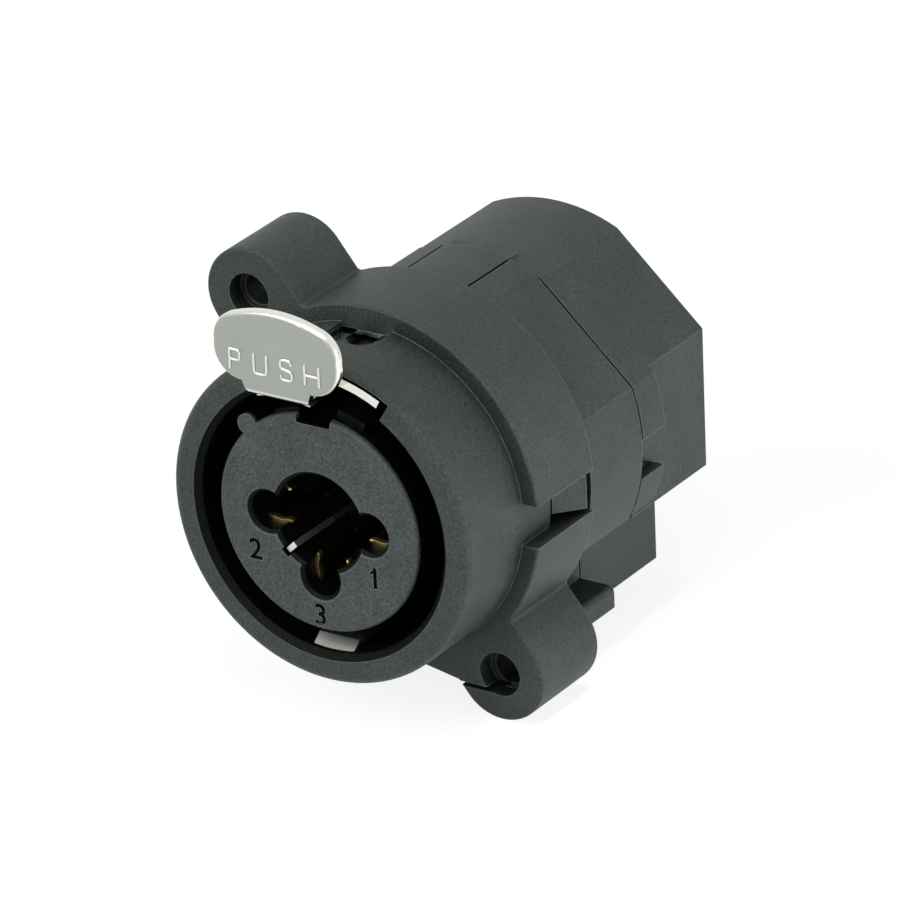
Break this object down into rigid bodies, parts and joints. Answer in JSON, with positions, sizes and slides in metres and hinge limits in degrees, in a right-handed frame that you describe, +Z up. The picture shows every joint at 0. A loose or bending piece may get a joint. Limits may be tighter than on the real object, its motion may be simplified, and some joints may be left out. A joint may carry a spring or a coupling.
{
  "type": "combined three-pin and jack panel socket",
  "caption": "Round panel socket with a push latch and two screw ears, for a three-pin microphone plug or a jack plug.",
  "frame": {"origin": "on the socket's axis, in the front plane of the fixing flange, halfway between the two screw holes", "axes": "-Y along the socket's axis out of its open face, +Z up towards the latch tab, +X to the right of someone facing it"},
  "size_m": [0.0262, 0.039, 0.0322],
  "materials": {
    "housing_plastic": "fine-grained moulded glass-filled plastic",
    "insert_plastic": "smooth moulded plastic",
    "contact_gold": "gold-plated",
    "nickel_plate": "nickel-plated, satin with bright edges",
    "spring_steel": "drawn wire"
  },
  "bodies": {
    "socket": {"front_housing": "housing_plastic", "rear_housing": "housing_plastic", "contact_insert": "insert_plastic", "jack_carrier": "insert_plastic", "xlr_contact_1": "contact_gold", "xlr_contact_2": "contact_gold", "xlr_contact_3": "contact_gold", "jack_tip_contact": "contact_gold", "jack_tip_switch": "contact_gold", "jack_ring_contact": "contact_gold", "jack_ring_switch": "contact_gold", "jack_sleeve_contact": "contact_gold", "jack_sleeve_switch": "contact_gold", "ground_contact": "nickel_plate", "latch_return_spring": "spring_steel"},
    "latch": {"push_latch": "nickel_plate"}
  },
  "joints": [
    {"name": "latch_slide", "type": "slide", "parent": "socket", "child": "latch", "axis": [0, 1, 0], "range_m": [0, 0.002], "stiffness_N_per_m": 1500, "springref_m": -0.001, "deforming": ["latch_return_spring"]}
  ]
}
